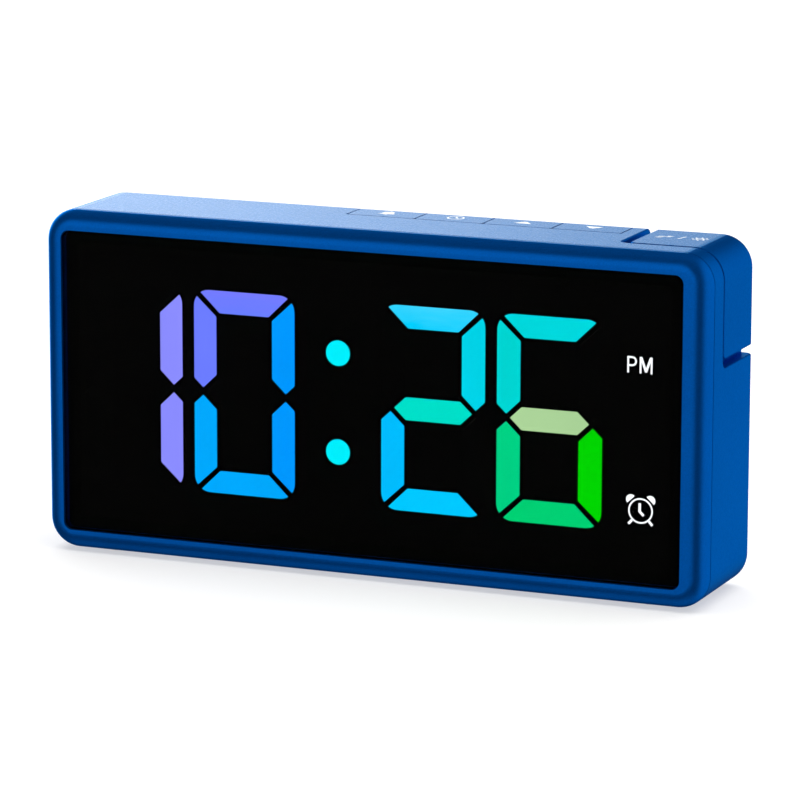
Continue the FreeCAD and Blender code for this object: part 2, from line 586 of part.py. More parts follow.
def alarm_sign(cx, cz, y0, y1):
    """Small ringing-clock sign: ring, two bells, two legs and two hands."""
    out = [disc_y(2.42, cx, cz, y0, y1).cut(disc_y(2.12, cx, cz, y0 - 1, y1 + 1))]
    for s in (-1, 1):
        a = math.radians(90 - s * 43)
        ux, uz = math.cos(a), math.sin(a)
        tx, tz = -uz, ux
        d = 2.78
        half = disc_y(0.98, cx + ux * d, cz + uz * d, y0, y1).common(
            prism("b", [(cx + ux * d + tx * 2, cz + uz * d + tz * 2), (cx + ux * d - tx * 2, cz + uz * d - tz * 2),
                        (cx + ux * (d + 2) - tx * 2, cz + uz * (d + 2) - tz * 2), (cx + ux * (d + 2) + tx * 2, cz + uz * (d + 2) + tz * 2)], y0, y1))
        out.append(half)
        a = math.radians(-90 + s * 42)
        ux, uz = math.cos(a), math.sin(a)
        tx, tz = -uz * 0.24, ux * 0.24
        out.append(prism("l", [(cx + ux * 2.46 + tx, cz + uz * 2.46 + tz), (cx + ux * 3.5 + tx, cz + uz * 3.5 + tz),
                               (cx + ux * 3.5 - tx, cz + uz * 3.5 - tz), (cx + ux * 2.46 - tx, cz + uz * 2.46 - tz)], y0, y1))
    out.append(prism("h", [(cx - 0.42, cz + 1.45), (cx + 0.08, cz + 1.45), (cx + 0.08, cz - 0.02), (cx + 0.78, cz - 0.72),
                           (cx + 0.44, cz - 1.06), (cx - 0.42, cz - 0.2)], y0, y1))
    return out


pm_x = D["sign_x"] - 2.95
pm = [letter_p(pm_x, F0, F1), letter_m(pm_x + 2.42, F0, F1)]
al = alarm_sign(D["sign_x"], D["disp_z"] - 15.45, F0, F1)
pm_indicator = feature("pm_indicator", Part.makeCompound(pm))
alarm_indicator = feature("alarm_indicator", Part.makeCompound(al))
openings += [letter_p(pm_x, F0 - 1, F1 + 1), letter_m(pm_x + 2.42, F0 - 1, F1 + 1)] + alarm_sign(D["sign_x"], D["disp_z"] - 15.45, F0 - 1, F1 + 1)
icon_cells = [(50.5, D["disp_z"] + 9.9, 56.7, D["disp_z"] + 14.1), (50.2, D["disp_z"] - 19.2, 57.8, D["disp_z"] - 11.6)]
diff = []
for x0, z0, x1, z1 in icon_cells:
    diff.append(Part.makeBox(x1 - x0 - 0.1, 1.0, z1 - z0 - 0.1, V(x0 + 0.05, F1, z0 + 0.05)))
    cavities.append(Part.makeBox(x1 - x0, 12, z1 - z0, V(x0, F1 - 0.5, z0)))
    chips.append(Part.makeBox(1.6, 0.6, 1.6, V((x0 + x1) / 2 - 0.8, D["refl_back"] - 0.6, (z0 + z1) / 2 - 0.8)))
icon_diffusers = feature("icon_diffusers", Part.makeCompound(diff))
led_chips = feature("led_chips", Part.makeCompound(chips))

film_sheet = slab("film_sheet", "dims.lens_x - dims.film_w / 2", "%s - dims.film_ht / 2" % MIDZ, "dims.lens_x + dims.film_w / 2",
                  "%s + dims.film_ht / 2" % MIDZ, "dims.film_front", "dims.film_front + dims.film_t", rad=0.8)
mask_film = cut("mask_film", film_sheet, [feature("film_openings", Part.makeCompound(openings))])
refl_block = slab("refl_block", "dims.lens_x - dims.refl_w / 2", "%s - dims.refl_ht / 2" % MIDZ, "dims.lens_x + dims.refl_w / 2",
                  "%s + dims.refl_ht / 2" % MIDZ, "dims.film_front + dims.film_t", "dims.refl_back", rad=1.0)
display_reflector = cut("display_reflector", refl_block, [feature("light_cells", Part.makeCompound(cavities))])

# ---------------------------------------------------------------- main board
main_plate = slab("main_plate", "-dims.main_w / 2", "%s - dims.refl_ht / 2" % MIDZ, "dims.main_w / 2",
                  "%s + dims.refl_ht / 2" % MIDZ, "dims.refl_back", "dims.refl_back + dims.board_t", rad=1.0)
holes, screws = [], []
n = 0
for sx in (-1, 1):
    for zz in ("dims.post_z_low", "dims.post_z_high"):
        n += 1
        x = "%d * dims.post_x" % sx
        holes.append(cyl_y("mhole_%d" % n, 1.0, x, zz, "dims.refl_back - 1", "dims.refl_back + dims.board_t + 1"))
        screws.append(fuse("dscrew_%d" % n, [
            cyl_y("dhead_%d" % n, 1.5, x, zz, "dims.refl_back + dims.board_t", "dims.refl_back + dims.board_t + 1.1"),
            cyl_y("dshank_%d" % n, 0.8, x, zz, "-8.2", "dims.refl_back + dims.board_t")]))
main_board = cut("main_board", main_plate, holes)
display_screws = fuse("display_screws", screws)
MB = "(dims.refl_back + dims.board_t)"
controller_chip = box("controller_chip", -10, MB, 30, 2, "%s + 1.4" % MB, 42)
clock_crystal = cyl("clock_crystal", 1.5, -20, "-1.2", 20, 8.0, "z")
caps = []
for i, (x, z) in enumerate(((48.0, 22.0), (48.0, 30.0), (12.0, 14.0))):
    caps.append(cyl_y("capacitor_%d" % i, 2.5, x, z, MB, "%s + 5.5" % MB))
capacitors = fuse("capacitors", caps)

# ---------------------------------------------------------------- top keys
ST = "(dims.switch_top - dims.switch_tall)"
kb = box("kboard_plate", "dims.kboard_x", "dims.kboard_y", "%s - dims.board_t" % ST,
         "dims.kboard_x + dims.kboard_w", "dims.kboard_y + dims.kboard_dp", ST)
kh, ks = [], []
for i, k in enumerate((1, 3)):
    cx = "(dims.key_x + %d * dims.key_pitch)" % k
    kh.append(cyl("kbhole_%d" % i, 1.1, cx, "dims.key_stem_y", "%s - dims.board_t - 1" % ST, "dims.board_t + 2", "z"))
    ks.append(fuse("kscrew_%d" % i, [
        cyl("kshead_%d" % i, 1.6, cx, "dims.key_stem_y", "%s - dims.board_t - 1.1" % ST, "1.1", "z"),
        cyl("ksshank_%d" % i, 0.9, cx, "dims.key_stem_y", "%s - dims.board_t" % ST, "4.6", "z")]))
key_board = cut("key_board", kb, kh)
key_board_screws = fuse("key_board_screws", ks)
bodies_sw = []
KEYS = ["alarm_key", "set_key", "up_key", "down_key"]
key_nodes = {}
outer_keys = ring_slab("outer_keys", "0", "dims.seam_rear", BACK, rear="dims.rear_round")
for i, name in enumerate(KEYS):
    cx = "(dims.key_x + %s * dims.key_pitch)" % (i + 0.5)
    sw = box("swbody_%d" % i, cx + " - dims.switch_sq / 2", "dims.key_stem_y - dims.switch_sq / 2", ST,
             cx + " + dims.switch_sq / 2", "dims.key_stem_y + dims.switch_sq / 2", "dims.switch_top")
    bore = cyl("swbore_%d" % i, "dims.plunger_bore_rad", cx, "dims.key_stem_y", "dims.plunger_bore_low", "6", "z")
    bodies_sw.append(cut("switch_%d" % i, sw, [bore]))
    plunger = cyl(name + "_plunger", "dims.plunger_rad", cx, "dims.key_stem_y", "dims.plunger_low",
                  "dims.key_stem_end - dims.plunger_low", "z")
    key_nodes[name + "_plunger"] = plunger
    plate_body = doc.addObject("PartDesign::Body", name + "_plate")
    x0 = "dims.key_x + %d * dims.key_pitch + dims.key_gap / 2" % i
    x1 = "dims.key_x + %d * dims.key_pitch - dims.key_gap / 2" % (i + 1)
    sk = rect_sketch(plate_body, name + "_outline", "XY_Plane", x0, "dims.key_front", x1, "%s + 2" % BACK, "%s - dims.key_t" % TOP)
    pad = plate_body.newObject("PartDesign::Pad", name + "_pad")
    pad.Profile = sk
    bind(pad, "Length", "dims.key_t + 2")
    doc.recompute()
    f = plate_body.newObject("PartDesign::Fillet", name + "_corners")
    yf = num("dims.key_front")
    ends = {0: -1, 3: 1}
    f.Base = (pad, edges_where(pad.Shape, lambda e: along(e, "z") and abs(e.CenterOfMass.y - yf) < 1e-6))
    bind(f, "Radius", 0.6)
    doc.recompute()
    plate_body.Tip = f
    plate = common(name + "_top", [plate_body, outer_keys])
    stem = box(name + "_stem", cx + " - dims.key_stem / 2", "dims.key_stem_y - dims.key_stem / 2", "dims.key_stem_end",
               cx + " + dims.key_stem / 2", "dims.key_stem_y + dims.key_stem / 2", "%s - dims.key_t + 0.2" % TOP)
    barb = box(name + "_barb", cx + " - dims.key_stem / 2 - 0.7", "dims.key_stem_y - dims.key_stem / 2", "dims.key_stem_end + 0.3",
               cx + " + dims.key_stem / 2 + 0.7", "dims.key_stem_y + dims.key_stem / 2", "%s - dims.key_inner - 0.1" % TOP)
    key_nodes[name] = fuse(name, [plate, stem, barb])
key_switches = fuse("key_switches", bodies_sw)
board_header = box("board_header", 10, MB, 54.7, 26, 4.0, "%s - dims.board_t" % ST)
pins = []
for i in range(6):
    x = 11.5 + 2.54 * i
    pins.append(fuse("pin_%d" % i, [box("pin_v_%d" % i, x, 2.4, 55.5, x + 0.6, 3.0, 58.9),
                                    box("pin_h_%d" % i, x, -4.0, 55.5, x + 0.6, 3.0, 56.1)]))
header_pins = fuse("header_pins", pins)

# ---------------------------------------------------------------- corner button
cap_zone = corner_zone("cap_zone", "dims.cap_left", "dims.cap_front", "dims.cap_low", 1.4)
cap_core = ring_slab("cap_core", "dims.cap_t", "dims.seam_rear - 1", "%s + 5" % BACK)
outer_cap = ring_slab("outer_cap", "0", "dims.seam_rear", BACK, rear="dims.rear_round")
cap_shell = cut("cap_shell", common("cap_common", [outer_cap, cap_zone]), [cap_core])
cap_stem = diag_box("cap_stem_bar", "dims.cap_stem", "dims.cap_mid_y - dims.cap_stem / 2", "dims.cap_mid_y + dims.cap_stem / 2", 1.6, 5.0)
cap_barb = diag_box("cap_barb", 1.6, "dims.cap_mid_y - dims.cap_stem / 2 - 0.8", "dims.cap_mid_y + dims.cap_stem / 2 + 0.8", 1.6, 2.1)
cap_soft = soften("cap_soft", cap_shell, "dims.cap_left", "dims.cap_front", "dims.cap_low", D["lip_soft"])
snooze_button = fuse("snooze_button", [cap_soft, cap_stem, cap_barb])
snooze_plunger = diag_cyl("snooze_plunger", "dims.plunger_rad", -0.7, 1.6)
snooze_switch = cut("snooze_switch", diag_box("sn_body", 5.6, MY - 3, MY + 3, -2.9, 0.5), [diag_cyl("sn_bore", "dims.plunger_bore_rad", -1.7, 2)])
snooze_board = diag_box("snooze_board", 10, 0.0, 9.0, -4.1, -2.9)

# ---------------------------------------------------------------- casing screws
hs = []
n = 0
for sx in (-1, 1):
    for zz in ("dims.screw_z_low", "dims.screw_z_high"):
        n += 1
        x = "%d * dims.screw_x" % sx
        head = cyl_y("hhead_%d" % n, "dims.head_rad", x, zz, "dims.well_bottom", "dims.well_bottom + dims.head_t")
        shank = cyl_y("hshank_%d" % n, "dims.shank_rad", x, zz, "dims.well_bottom - dims.shank_len", "dims.well_bottom")
        s1 = box("hslot_a_%d" % n, x + " - 1.1", "dims.well_bottom + dims.head_t - 0.7", zz + " - 0.2", x + " + 1.1", "dims.well_bottom + dims.head_t + 1", zz + " + 0.2")
        s2 = box("hslot_b_%d" % n, x + " - 0.2", "dims.well_bottom + dims.head_t - 0.7", zz + " - 1.1", x + " + 0.2", "dims.well_bottom + dims.head_t + 1", zz + " + 1.1")
        hs.append(cut("hscrew_%d" % n, fuse("hblank_%d" % n, [head, shank]), [s1, s2]))
housing_screws = fuse("housing_screws", hs)

# ---------------------------------------------------------------- battery
coin_cell_a = cyl_y("cell_can", "dims.cell_rad", cellx, cellz, "dims.cell_low + 0.4", "dims.cell_low + dims.cell_t")
coin_cell_b = cyl_y("cell_cap", "dims.cell_rad - 1.3", cellx, cellz, "dims.cell_low", "dims.cell_low + 0.5")
coin_cell = fuse("coin_cell", [coin_cell_a, coin_cell_b])
neg_a = box("neg_strip", "dims.cell_x - 6", "dims.cell_floor_in", "dims.cell_z - 2", "dims.cell_x + 6", "dims.cell_floor_in + 0.3", "dims.cell_z + 2")
neg_b = cyl_y("neg_bump", 1.6, cellx, cellz, "dims.cell_floor_in + 0.2", "dims.cell_low")
cell_contact_negative = fuse("cell_contact_negative", [neg_a, neg_b])
pos_a = box("pos_leaf", "dims.cell_x - 2", "dims.cell_floor_in", "dims.cell_z + dims.cell_rad + 0.05", "dims.cell_x + 2", "dims.cell_low + 2.6", "dims.cell_z + dims.cell_rad + 0.4")
pos_b = box("pos_foot", "dims.cell_x - 2", "dims.cell_floor_in", "dims.cell_z + dims.cell_rad - 2.5", "dims.cell_x + 2", "dims.cell_floor_in + 0.3", "dims.cell_z + dims.cell_rad + 0.4")
cell_contact_positive = fuse("cell_contact_positive", [pos_a, pos_b])
door_disc = doc.addObject("PartDesign::Body", "door_disc")
dsk = door_disc.newObject("Sketcher::SketchObject", "door_outline")
dsk.AttachmentSupport = [(plane_of(door_disc, "XZ_Plane"), "")]
dsk.MapMode = "FlatFace"
bind(dsk, "AttachmentOffset.Base.z", "-(%s - dims.door_t)" % BACK)
dsk.addGeometry(Part.Circle(V(D["cell_x"], D["cell_z"], 0), V(0, 0, 1), D["door_rad"]), False)
for key, con, e in (
    ("rim_size", Sketcher.Constraint("Radius", 0, D["door_rad"]), "dims.door_rad"),
    ("middle_x", Sketcher.Constraint("DistanceX", -1, 1, 0, 3, D["cell_x"]), "dims.cell_x"),
    ("middle_z", Sketcher.Constraint("DistanceY", -1, 1, 0, 3, D["cell_z"]), "dims.cell_z"),
):
    i = dsk.addConstraint(con)
    dsk.renameConstraint(i, key)
    dsk.setExpression("Constraints." + key, e)
dpad = door_disc.newObject("PartDesign::Pad", "door_pad")
dpad.Profile = dsk
bind(dpad, "Length", "dims.door_t")
dpad.Reversed = True
doc.recompute()
slot_sk = rect_sketch(door_disc, "coin_slot", "XZ_Plane", "dims.cell_x - 7", "dims.cell_z - 1.1", "dims.cell_x + 7", "dims.cell_z + 1.1", "-%s" % BACK)
slot = door_disc.newObject("PartDesign::Pocket", "coin_slot_cut")
slot.Profile = slot_sk
bind(slot, "Length", 0.9)
doc.recompute()
before = dpad.Shape.Volume
if slot.Shape.isNull() or slot.Shape.Volume > before - 1:
    slot.Reversed = not slot.Reversed
    doc.recompute()
assert slot.Shape.Volume < before - 20, "coin slot cut nothing"
dfil = door_disc.newObject("PartDesign::Fillet", "door_rim")
by = num(BACK)
dfil.Base = (slot, edges_where(slot.Shape, lambda e: isinstance(e.Curve, Part.Circle) and abs(e.CenterOfMass.y - by) < 1e-6 and e.Curve.Radius > 5))
bind(dfil, "Radius", 0.3)
doc.recompute()
door_disc.Tip = dfil
door_plug = cyl_y("door_plug", "dims.plug_rad", cellx, cellz, "dims.lug_low", "%s - dims.door_t + 0.1" % BACK)
door_relief = cyl_y("door_relief", "dims.plug_rad - 1.2", cellx, cellz, "dims.lug_low - 1", "%s - dims.door_t" % BACK)
lug_shape = sector(D["lug_rad"], D["lug_low"], 10.7, 0, 11).fuse(sector(D["lug_rad"], D["lug_low"], 10.7, 180, 11))
lugs = cut("door_lugs", feature("lug_sectors", lug_shape), [cyl_y("lug_clear", "dims.plug_rad - 1.2", cellx, cellz, "dims.lug_low - 1", "%s" % BACK)])
door_body = fuse("door_body", [door_disc, cut("door_ring", door_plug, [door_relief]), lugs])
battery_door = cut("battery_door", door_body, [cyl_y("door_mark", 0.6, cellx, "dims.cell_z + 10.4", "%s - %s" % (BACK, MARK_D), "%s + 1" % BACK)])

# ---------------------------------------------------------------- speaker
sx_, sz_ = "dims.spk_x", "dims.spk_z"
bs_a = cyl_y("basket_a", "dims.spk_rad", sx_, sz_, 7.0, 10.4)
bs_b = cyl_y("basket_b", "dims.spk_rad - 0.8", sx_, sz_, 7.6, 11)
speaker_basket = cut("speaker_basket", bs_a, [bs_b])
cone = doc.addObject("Part::Cone", "cone_a")
cone.Placement = Pla(V(0, 0, 0), Rot(V(1, 0, 0), -90))
bind(cone, "Radius1", 4.0)
bind(cone, "Radius2", 8.8)
bind(cone, "Height", 1.6)
place(cone, sx_, 8.4, sz_)
cone_b = doc.addObject("Part::Cone", "cone_b")
cone_b.Placement = Pla(V(0, 0, 0), Rot(V(1, 0, 0), -90))
bind(cone_b, "Radius1", 3.8)
bind(cone_b, "Radius2", 8.6)
bind(cone_b, "Height", 1.6)
place(cone_b, sx_, 8.7, sz_)
dust = doc.addObject("Part::Cylinder", "dust_cap")
dust.Placement = Pla(V(0, 0, 0), Rot(V(1, 0, 0), -90))
bind(dust, "Radius", 3.9)
bind(dust, "Height", 0.4)
place(dust, sx_, 8.5, sz_)
speaker_cone = fuse("speaker_cone", [cut("cone_skin", cone, [cone_b]), dust])
speaker_magnet = cyl_y("speaker_magnet", 5.0, sx_, sz_, 4.4, 7.0)
sg_a = cyl_y("sgasket_a", "dims.spk_rad", sx_, sz_, 10.4, "%s - dims.back_wall" % BACK)
sg_b = cyl_y("sgasket_b", "dims.spk_rad - 1.6", sx_, sz_, 10, "%s" % BACK)
speaker_gasket = cut("speaker_gasket", sg_a, [sg_b])

# ---------------------------------------------------------------- power inlet
shell_a = slab("inlet_a", "dims.usb_x - dims.usb_w / 2", "dims.usb_z - dims.usb_ht / 2", "dims.usb_x + dims.usb_w / 2",
               "dims.usb_z + dims.usb_ht / 2", "dims.usb_back", "dims.usb_mouth", rad=1.6)
shell_b = slab("inlet_b", "dims.usb_x - dims.usb_w / 2 + dims.usb_wall", "dims.usb_z - dims.usb_ht / 2 + dims.usb_wall",
               "dims.usb_x + dims.usb_w / 2 - dims.usb_wall", "dims.usb_z + dims.usb_ht / 2 - dims.usb_wall",
               "dims.usb_back + 0.8", "dims.usb_mouth + 1", rad=1.3)
power_inlet_shell = cut("power_inlet_shell", shell_a, [shell_b])
power_inlet_tongue = box("power_inlet_tongue", "dims.usb_x - 3.35", "dims.usb_back + 0.8", "dims.usb_z - 0.35",
                         "dims.usb_x + 3.35", "dims.usb_mouth - 0.8", "dims.usb_z + 0.35")
pb = box("pboard_plate", 28.5, 0.6, 9.1, 47.5, 10.4, "dims.usb_z - dims.usb_ht / 2 - 0.02")
pbh, pbs = [], []
for i, x in enumerate((32.0, 44.0)):
    pbh.append(cyl("pbhole_%d" % i, 1.1, x, 3.2, 8, "4", "z"))
    pbs.append(fuse("pbscrew_%d" % i, [cyl("pbhead_%d" % i, 1.6, x, 3.2, "dims.usb_z - dims.usb_ht / 2 - 0.02", "1.1", "z"),
                                       cyl("pbshank_%d" % i, 0.9, x, 3.2, 5.0, "5.4", "z")]))
power_board = cut("power_board", pb, pbh)
power_board_screws = fuse("power_board_screws", pbs)

# ---------------------------------------------------------------- inside wiring, 0.9 mm
mb = num(MB)
ptop = num("dims.usb_z - dims.usb_ht / 2 - 0.02")
power_wires = feature("power_wires", Part.makeCompound([
    tube("w", [(x, 2.2, ptop), (x, 2.2, ptop + 6.0), (x, mb, ptop + 6.0)], 0.45) for x in (36.8, 39.2)]))
speaker_wires = feature("speaker_wires", Part.makeCompound([
    tube("w", [(x, 7.0, 30.0), (x, 3.4, 30.0), (x, 0.6, 26.0), (x, mb, 26.0)], 0.45) for x in (20.8, 23.2)]))
battery_wires = feature("battery_wires", Part.makeCompound([
    tube("w", [(x, 4.0, 34.0), (x, 1.4, 34.0), (x, -0.2, 31.0), (x, mb, 31.0)], 0.45) for x in (-31.2, -28.8)]))
snooze_wire = feature("snooze_wire", tube("w", [(59.03, 0.0, 58.53), (59.03, -1.6, 58.53), (52.0, -1.8, 57.9), (44.0, -1.6, 57.7), (44.0, 1.0, 57.7)], 0.5))

doc.recompute()

NODES = [
    front_bezel, rear_housing, rubber_feet, display_lens, lens_gasket, mask_film, display_reflector,
    *segment_nodes.values(), colon_dots, pm_indicator, alarm_indicator, icon_diffusers, led_chips,
    main_board, display_screws, controller_chip, clock_crystal, capacitors,
    key_board, key_board_screws, key_switches, *key_nodes.values(), board_header, header_pins,
    snooze_button, snooze_plunger, snooze_switch, snooze_board, housing_screws,
    coin_cell, cell_contact_negative, cell_contact_positive, battery_door,
    speaker_basket, speaker_cone, speaker_magnet, speaker_gasket,
    power_inlet_shell, power_inlet_tongue, power_board, power_board_screws,
    power_wires, speaker_wires, battery_wires, snooze_wire,
]

bad = [o.Name for o in doc.Objects if "Invalid" in o.State or "Error" in o.State]
if bad:
    raise RuntimeError("objects failed: %s" % bad)
os.makedirs("parts", exist_ok=True)
for old in os.listdir("parts"):
    if old.endswith(".step"):
        os.remove(os.path.join("parts", old))
seen = set()
for o in NODES:
    s = o.Shape
    if s.isNull() or not s.isValid() or not s.Solids:
        raise RuntimeError("bad shape: %s" % o.Name)
    if o.Label in seen:
        raise RuntimeError("two nodes named %s" % o.Label)
    seen.add(o.Label)
    if min(x.Volume for x in s.Solids) <= 0:
        raise RuntimeError("negative solid: %s" % o.Name)
    s.exportStep(os.path.join("parts", o.Label + ".step"))
print("nodes", len(NODES), "objects", len(doc.Objects))
for o in NODES:
    b = o.Shape.BoundBox
    print("%-24s solids %3d vol %9.1f  x %.2f..%.2f y %.2f..%.2f z %.2f..%.2f" % (
        o.Label, len(o.Shape.Solids), o.Shape.Volume, b.XMin, b.XMax, b.YMin, b.YMax, b.ZMin, b.ZMax))
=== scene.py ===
import math
import bpy
import bmesh
from mathutils import Vector, Matrix

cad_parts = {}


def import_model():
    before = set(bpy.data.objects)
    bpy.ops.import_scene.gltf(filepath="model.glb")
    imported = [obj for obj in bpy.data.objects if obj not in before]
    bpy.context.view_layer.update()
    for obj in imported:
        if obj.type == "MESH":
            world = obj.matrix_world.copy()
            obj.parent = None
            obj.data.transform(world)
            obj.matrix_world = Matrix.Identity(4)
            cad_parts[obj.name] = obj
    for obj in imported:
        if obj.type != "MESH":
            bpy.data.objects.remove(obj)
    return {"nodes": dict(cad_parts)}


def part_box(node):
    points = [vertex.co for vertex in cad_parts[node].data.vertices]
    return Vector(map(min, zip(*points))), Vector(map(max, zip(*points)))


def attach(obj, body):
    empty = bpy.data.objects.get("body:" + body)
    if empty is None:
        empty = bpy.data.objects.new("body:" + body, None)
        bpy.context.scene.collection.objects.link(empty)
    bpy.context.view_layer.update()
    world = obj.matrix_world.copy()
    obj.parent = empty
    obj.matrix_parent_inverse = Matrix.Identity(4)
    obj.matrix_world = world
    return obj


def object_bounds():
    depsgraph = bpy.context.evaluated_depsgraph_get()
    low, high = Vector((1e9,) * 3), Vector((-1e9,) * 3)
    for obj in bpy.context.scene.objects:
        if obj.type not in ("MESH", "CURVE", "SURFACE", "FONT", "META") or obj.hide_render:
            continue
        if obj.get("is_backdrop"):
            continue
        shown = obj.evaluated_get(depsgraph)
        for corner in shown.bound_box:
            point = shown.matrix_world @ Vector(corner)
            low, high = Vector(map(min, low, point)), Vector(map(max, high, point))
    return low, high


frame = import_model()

CAD_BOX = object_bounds()
NODES = frame["nodes"]
MM = 0.001
SCENE = bpy.context.scene
SCENE.view_settings.view_transform = "Standard"
SCENE.view_settings.look = "None"


# ------------------------------------------------------------------ materials
def lin(r, g, b):
    """Linear colour from 0..255 display values."""
    def f(v):
        v = v / 255.0
        return v / 12.92 if v <= 0.04045 else ((v + 0.055) / 1.055) ** 2.4
    return (f(r), f(g), f(b), 1.0)


class Mat:
    """A Principled material with helpers for its procedural detail."""

    def __init__(self, name, **uniform):
        self.m = bpy.data.materials.new(name)
        self.m.use_nodes = True
        self.nt = self.m.node_tree
        self.nt.nodes.clear()
        self.out = self.node("ShaderNodeOutputMaterial")
        self.p = self.node("ShaderNodeBsdfPrincipled")
        self.link(self.p.outputs[0], self.out.inputs["Surface"])
        self.co = self.node("ShaderNodeTexCoord").outputs["Object"]
        for k, v in uniform.items():
            self.p.inputs[k.replace("_", " ")].default_value = v
        self.height = []

    def node(self, kind, **props):
        n = self.nt.nodes.new(kind)
        for k, v in props.items():
            setattr(n, k, v)
        return n

    def link(self, a, b):
        self.nt.links.new(a, b)

    def noise(self, scale, detail=2.0, rough=0.5, distortion=0.0, stretch=None):
        n = self.node("ShaderNodeTexNoise")
        n.inputs["Scale"].default_value = scale
        n.inputs["Detail"].default_value = detail
        n.inputs["Roughness"].default_value = rough
        n.inputs["Distortion"].default_value = distortion
        src = self.co
        if stretch is not None:
            mp = self.node("ShaderNodeMapping")
            mp.inputs["Scale"].default_value = stretch
            self.link(src, mp.inputs["Vector"])
            src = mp.outputs["Vector"]
        self.link(src, n.inputs["Vector"])
        return n.outputs["Fac"]

    def voronoi(self, scale, feature="F1"):
        n = self.node("ShaderNodeTexVoronoi", feature=feature)
        n.inputs["Scale"].default_value = scale
        self.link(self.co, n.inputs["Vector"])
        return n.outputs["Distance"]

    def wave(self, scale, axis="Z", distortion=0.0, kind="BANDS"):
        n = self.node("ShaderNodeTexWave", wave_type=kind)
        if kind == "BANDS":
            n.bands_direction = axis
        else:
            n.rings_direction = axis
        n.inputs["Scale"].default_value = scale
        n.inputs["Distortion"].default_value = distortion
        self.link(self.co, n.inputs["Vector"])
        return n.outputs["Fac"]

    def span(self, fac, lo, hi, a=0.3, b=0.7, smooth=False):
        """fac, from a..b, carried over to lo..hi."""
        n = self.node("ShaderNodeMapRange")
        if smooth:
            n.interpolation_type = "SMOOTHSTEP"
        n.inputs["From Min"].default_value = a
        n.inputs["From Max"].default_value = b
        n.inputs["To Min"].default_value = lo
        n.inputs["To Max"].default_value = hi
        self.link(fac, n.inputs["Value"])
        return n.outputs["Result"]

    def mix(self, fac, a, b):
        n = self.node("ShaderNodeMix", data_type="RGBA")
        for sock, v in ((n.inputs[6], a), (n.inputs[7], b)):
            if isinstance(v, (tuple, list)):
                sock.default_value = v
            else:
                self.link(v, sock)
        self.link(fac, n.inputs[0])
        return n.outputs[2]

    def math(self, op, a, b):
        n = self.node("ShaderNodeMath", operation=op)
        for sock, v in ((n.inputs[0], a), (n.inputs[1], b)):
            if isinstance(v, (int, float)):
                sock.default_value = v
            else:
                self.link(v, sock)
        return n.outputs[0]

    def ramp(self, fac, stops):
        n = self.node("ShaderNodeValToRGB")
        cr = n.color_ramp
        while len(cr.elements) < len(stops):
            cr.elements.new(0.5)
        for e, (pos, col) in zip(cr.elements, stops):
            e.position = pos
            e.color = col
        self.link(fac, n.inputs[0])
        return n.outputs[0]

    def to(self, value, socket):
        self.link(value, self.p.inputs[socket])
        return self

    def bump(self, height, strength, distance, chain=None):
        b = self.node("ShaderNodeBump")
        b.inputs["Strength"].default_value = strength
        b.inputs["Distance"].default_value = distance
        self.link(height, b.inputs["Height"])
        if chain is not None:
            self.link(chain, b.inputs["Normal"])
        self.link(b.outputs["Normal"], self.p.inputs["Normal"])
        return b.outputs["Normal"]


def satin_blue(name, grain=1.0, dark=1.0, lit_top_copy=False):
    """Satin moulded casing with a pearlescent blue colour and a fine spark texture.
    With the top switch on it makes a lit copy for upward faces: a paler, more cyan base colour, less metal and a clear
    coat give them a painted highlight, standing in for the light the top catches at a low angle."""
    k = Mat(name, Metallic=0.30 if lit_top_copy else 0.83, IOR=1.45)
    k.p.inputs["Specular IOR Level"].default_value = 0.0
    k.p.inputs["Specular Tint"].default_value = (0.30, 0.66, 1.0, 1.0)
    broad = k.noise(28.0, 2.0)
    fine = k.noise(4200.0, 3.0, 0.6)
    pits = k.noise(1700.0, 2.0, 0.5)
    a = (0.0008 * dark, 0.112 * dark, 0.505 * dark, 1)
    b = (0.0010 * dark, 0.126 * dark, 0.555 * dark, 1)
    # painted highlight: upward faces get a paler, more cyan base colour than the sides
    if lit_top_copy:
        a, b = (0.0010 * dark, 0.142 * dark, 0.410 * dark, 1), (0.0012 * dark, 0.158 * dark, 0.450 * dark, 1)
    base = k.mix(k.span(broad, 0.0, 1.0), a, b)
    speck = k.mix(k.span(fine, 0.0, 1.0, 0.35, 0.65), (0.92, 0.92, 0.92, 1), (1.08, 1.08, 1.08, 1))
    mul = k.node("ShaderNodeMix", data_type="RGBA", blend_type="MULTIPLY")
    mul.inputs[0].default_value = 1.0
    k.link(base, mul.inputs[6])
    k.link(speck, mul.inputs[7])
    k.to(mul.outputs[2], "Base Color")
    k.to(k.span(pits, 0.30, 0.37), "Roughness")
    n1 = k.bump(fine, 0.30 * grain, 0.00003)
    k.bump(pits, 0.14 * grain, 0.00005, n1)
    # the clear coat of the lit top copy adds to the painted highlight on upward faces
    if lit_top_copy:
        k.p.inputs["Coat Weight"].default_value = 0.85
        k.p.inputs["Coat IOR"].default_value = 1.20
        k.to(k.span(pits, 0.22, 0.30), "Coat Roughness")
        c = k.node("ShaderNodeBump")
        c.inputs["Strength"].default_value = 0.5
        c.inputs["Distance"].default_value = 0.00006
        k.link(fine, c.inputs["Height"])
        k.link(c.outputs["Normal"], k.p.inputs["Coat Normal"])
    return k.m


def smoked_window():
    k = Mat("window_smoked", IOR=1.07)
    k.p.inputs["Transmission Weight"].default_value = 1.0
    haze = k.noise(60.0, 2.0)
    k.to(k.mix(k.span(haze, 0, 1), (0.30, 0.315, 0.325, 1), (0.32, 0.33, 0.34, 1)), "Base Color")
    k.to(k.span(k.noise(420.0, 3.0), 0.012, 0.030), "Roughness")
    return k.m


def black_film():
    k = Mat("film_black")
    fine = k.noise(2600.0, 2.0)
    k.to(k.mix(k.span(fine, 0, 1), (0.0003, 0.0003, 0.0003, 1), (0.0006, 0.0006, 0.0006, 1)), "Base Color")
    k.to(k.span(fine, 0.60, 0.75), "Roughness")
    k.p.inputs["Specular IOR Level"].default_value = 0.0
    return k.m


LENS_T = 0.33


